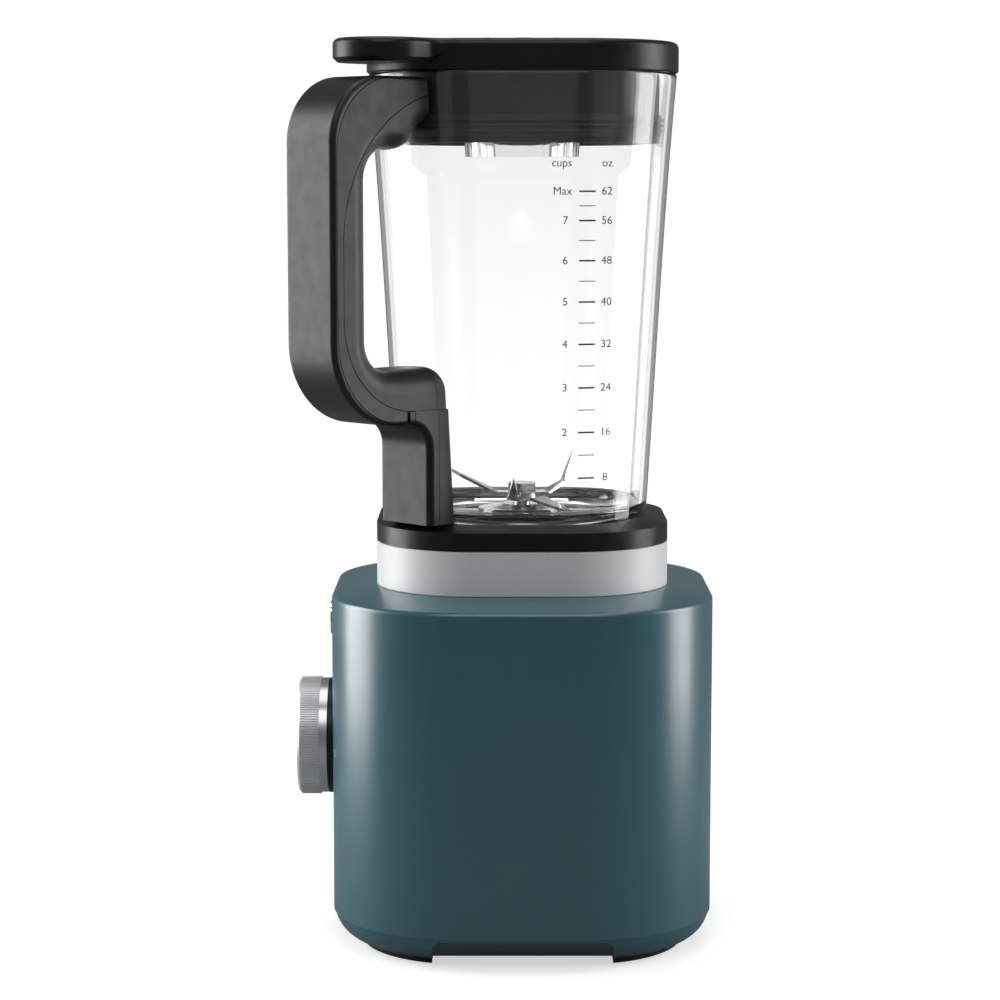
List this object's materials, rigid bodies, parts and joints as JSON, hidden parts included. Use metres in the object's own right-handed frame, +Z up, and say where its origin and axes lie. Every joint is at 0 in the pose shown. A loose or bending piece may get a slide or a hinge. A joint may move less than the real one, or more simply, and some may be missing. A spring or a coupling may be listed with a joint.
{
  "type": "countertop blender",
  "caption": "Countertop blender: rounded-square motor base with front dial and metal band, clear jar with corner handle, steel blades, lid with tab, measuring cap.",
  "frame": {"origin": "on the table under the drive axis of motor and blades, in the plane of the feet", "axes": "+Z up along the drive axis; the dial faces -Y; the jar's handle stands on the corner between +X and -Y"},
  "size_m": [0.195, 0.2006, 0.4261],
  "materials": {
    "teal_body": "glossy moulded plastic, dark teal",
    "foot_rubber": "matte rubber",
    "satin_band": "satin metal",
    "chrome_trim": "bright chrome",
    "dial_metal": "satin, fine ribs",
    "black_plastic": "satin moulded plastic, black",
    "soft_grip": "soft-touch overmoulding, dark grey",
    "handle_plastic": "satin moulded plastic, charcoal",
    "clear_jar": "clear copolyester, glossy",
    "clear_cup": "clear plastic with facets",
    "blade_steel": "polished stainless steel",
    "shaft_steel": "ground steel",
    "bearing_steel": "ground steel",
    "screw_steel": "zinc plated",
    "cast_alloy": "die cast",
    "laminations": "stacked steel sheet",
    "copper": "enamelled copper wire",
    "holder_brass": "pressed brass",
    "carbon": "carbon",
    "inner_plastic": "moulded plastic",
    "board": "printed circuit board",
    "coupler_plastic": "tough moulded plastic",
    "seal_rubber": "silicone rubber"
  },
  "bodies": {
    "base": {"air_duct": "inner_plastic", "badge": "chrome_trim", "base_housing": "teal_body", "base_pan": "teal_body", "board_posts": "inner_plastic", "brush_holders": "holder_brass", "brush_springs": "screw_steel", "carbon_brushes": "carbon", "control_board": "board", "cord_clamp": "inner_plastic", "cord_grommet": "seal_rubber", "dial_backplate": "black_plastic", "drive_deck": "black_plastic", "field_coils": "copper", "heat_sink": "cast_alloy", "lower_bearing": "bearing_steel", "lower_bracket": "cast_alloy", "motor_bolts": "screw_steel", "motor_mounts": "seal_rubber", "mount_screws": "screw_steel", "pan_screws": "screw_steel", "rotary_switch": "inner_plastic", "rubber_feet": "foot_rubber", "silver_band": "satin_band", "stator_core": "laminations", "stator_spacers": "screw_steel", "switch_nut": "screw_steel", "upper_bearing": "bearing_steel", "upper_bracket": "cast_alloy", "well_seal": "seal_rubber"},
    "armature": {"motor_shaft": "shaft_steel", "armature_core": "laminations", "armature_winding": "copper", "commutator": "copper", "cooling_fan": "inner_plastic", "drive_coupler": "coupler_plastic"},
    "dial": {"dial_cap": "dial_metal", "dial_ring": "chrome_trim", "dial_shaft": "shaft_steel"},
    "jar": {"jar_body": "clear_jar", "jar_collar": "black_plastic", "jar_gasket": "seal_rubber", "handle_grip": "soft_grip", "handle_frame": "handle_plastic", "handle_cover": "handle_plastic", "handle_mount": "handle_plastic", "blade_housing": "blade_steel", "blade_bearings": "bearing_steel", "blade_seal": "seal_rubber", "blade_lock_nut": "coupler_plastic"},
    "blade": {"upper_blade": "blade_steel", "lower_blade": "blade_steel", "blade_washer": "blade_steel", "blade_nut": "blade_steel", "blade_shaft": "shaft_steel", "driven_coupler": "coupler_plastic"},
    "lid": {"lid_body": "black_plastic", "lid_seal": "seal_rubber"},
    "cap": {"measuring_cup": "clear_cup", "cap_top": "black_plastic"}
  },
  "joints": [
    {"name": "armature_spin", "type": "hinge", "parent": "base", "child": "armature", "pos_m": [0, 0, 0.1], "axis": [0, 0, 1], "continuous": true},
    {"name": "dial_turn", "type": "hinge", "parent": "base", "child": "dial", "pos_m": [0, -0.09, 0.0923], "axis": [0, -1, 0], "range_deg": [-75, 150]},
    {"name": "jar_lift", "type": "slide", "parent": "base", "child": "jar", "axis": [0, 0, 1], "range_m": [0, 0.09]},
    {"name": "blade_spin", "type": "hinge", "parent": "jar", "child": "blade", "pos_m": [0, 0, 0.2], "axis": [0, 0, 1], "continuous": true},
    {"name": "lid_lift", "type": "slide", "parent": "jar", "child": "lid", "axis": [0, 0, 1], "range_m": [0, 0.08]},
    {"name": "cap_lift", "type": "slide", "parent": "lid", "child": "cap", "axis": [0, 0, 1], "range_m": [0, 0.07]}
  ],
  "couplings": [
    {"joint": "blade_spin", "follows": "armature_spin", "ratio": 1}
  ]
}
